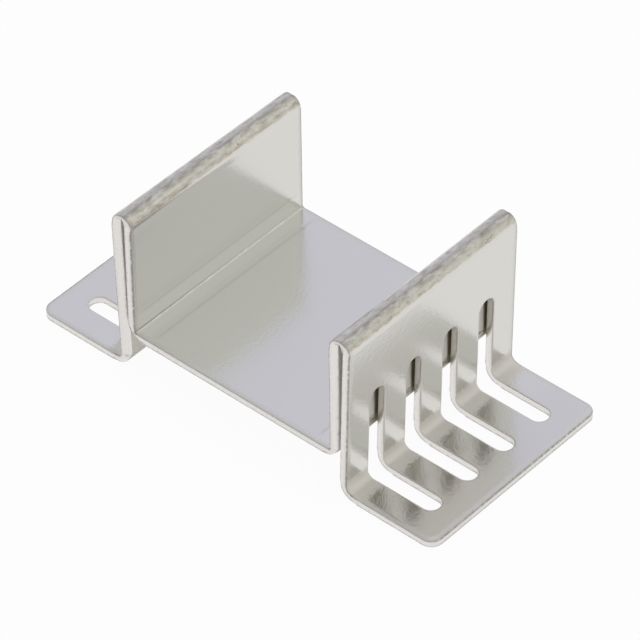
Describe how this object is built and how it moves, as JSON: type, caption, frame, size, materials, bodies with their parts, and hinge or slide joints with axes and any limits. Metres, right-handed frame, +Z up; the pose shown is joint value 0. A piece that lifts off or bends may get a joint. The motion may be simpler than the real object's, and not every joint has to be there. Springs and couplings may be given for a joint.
{
  "type": "surface-mount heat sink",
  "caption": "Tin-plated copper strip folded into two solder flanges, two slotted hemmed walls and a raised web that straddles a board-mounted power package.",
  "frame": {"origin": "middle of the footprint, on the board", "axes": "+X across the folds from one flange to the other, +Y along the folds, +Z up from the board"},
  "size_m": [0.0262, 0.0126, 0.0102],
  "materials": {
    "tin_plate": "bright satin tin plating, rolled grain, sheared edges"
  },
  "bodies": {
    "root": {"folded_sheet": "tin_plate"}
  },
  "joints": []
}
